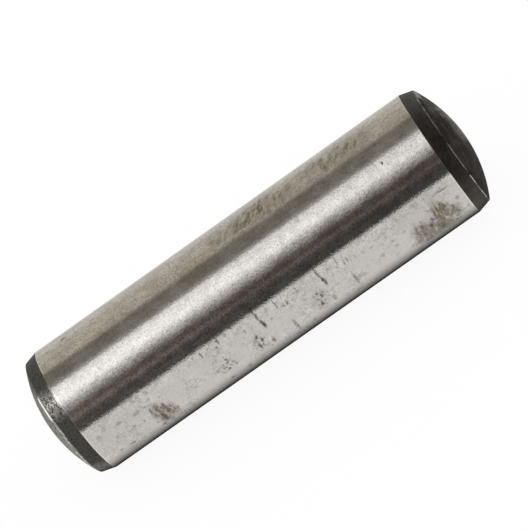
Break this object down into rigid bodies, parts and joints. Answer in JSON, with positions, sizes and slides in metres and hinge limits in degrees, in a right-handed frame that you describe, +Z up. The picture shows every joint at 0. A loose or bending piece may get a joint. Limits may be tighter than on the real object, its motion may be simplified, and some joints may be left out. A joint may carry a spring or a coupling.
{
  "type": "dowel pin",
  "caption": "Parallel dowel pin: a ground steel cylinder with lead-in chamfers and crowned ends, pressed into reamed holes to line up two parts.",
  "frame": {"origin": "on the pin's axis, midway between its crowned ends", "axes": "+X along the pin's axis, +Z up as the pin lies"},
  "size_m": [0.036, 0.01, 0.01],
  "materials": {
    "steel": "hardened steel, ground and stained shank, dark scale on the chamfers and crowns"
  },
  "bodies": {
    "root": {"dowel_pin": "steel"}
  },
  "joints": []
}
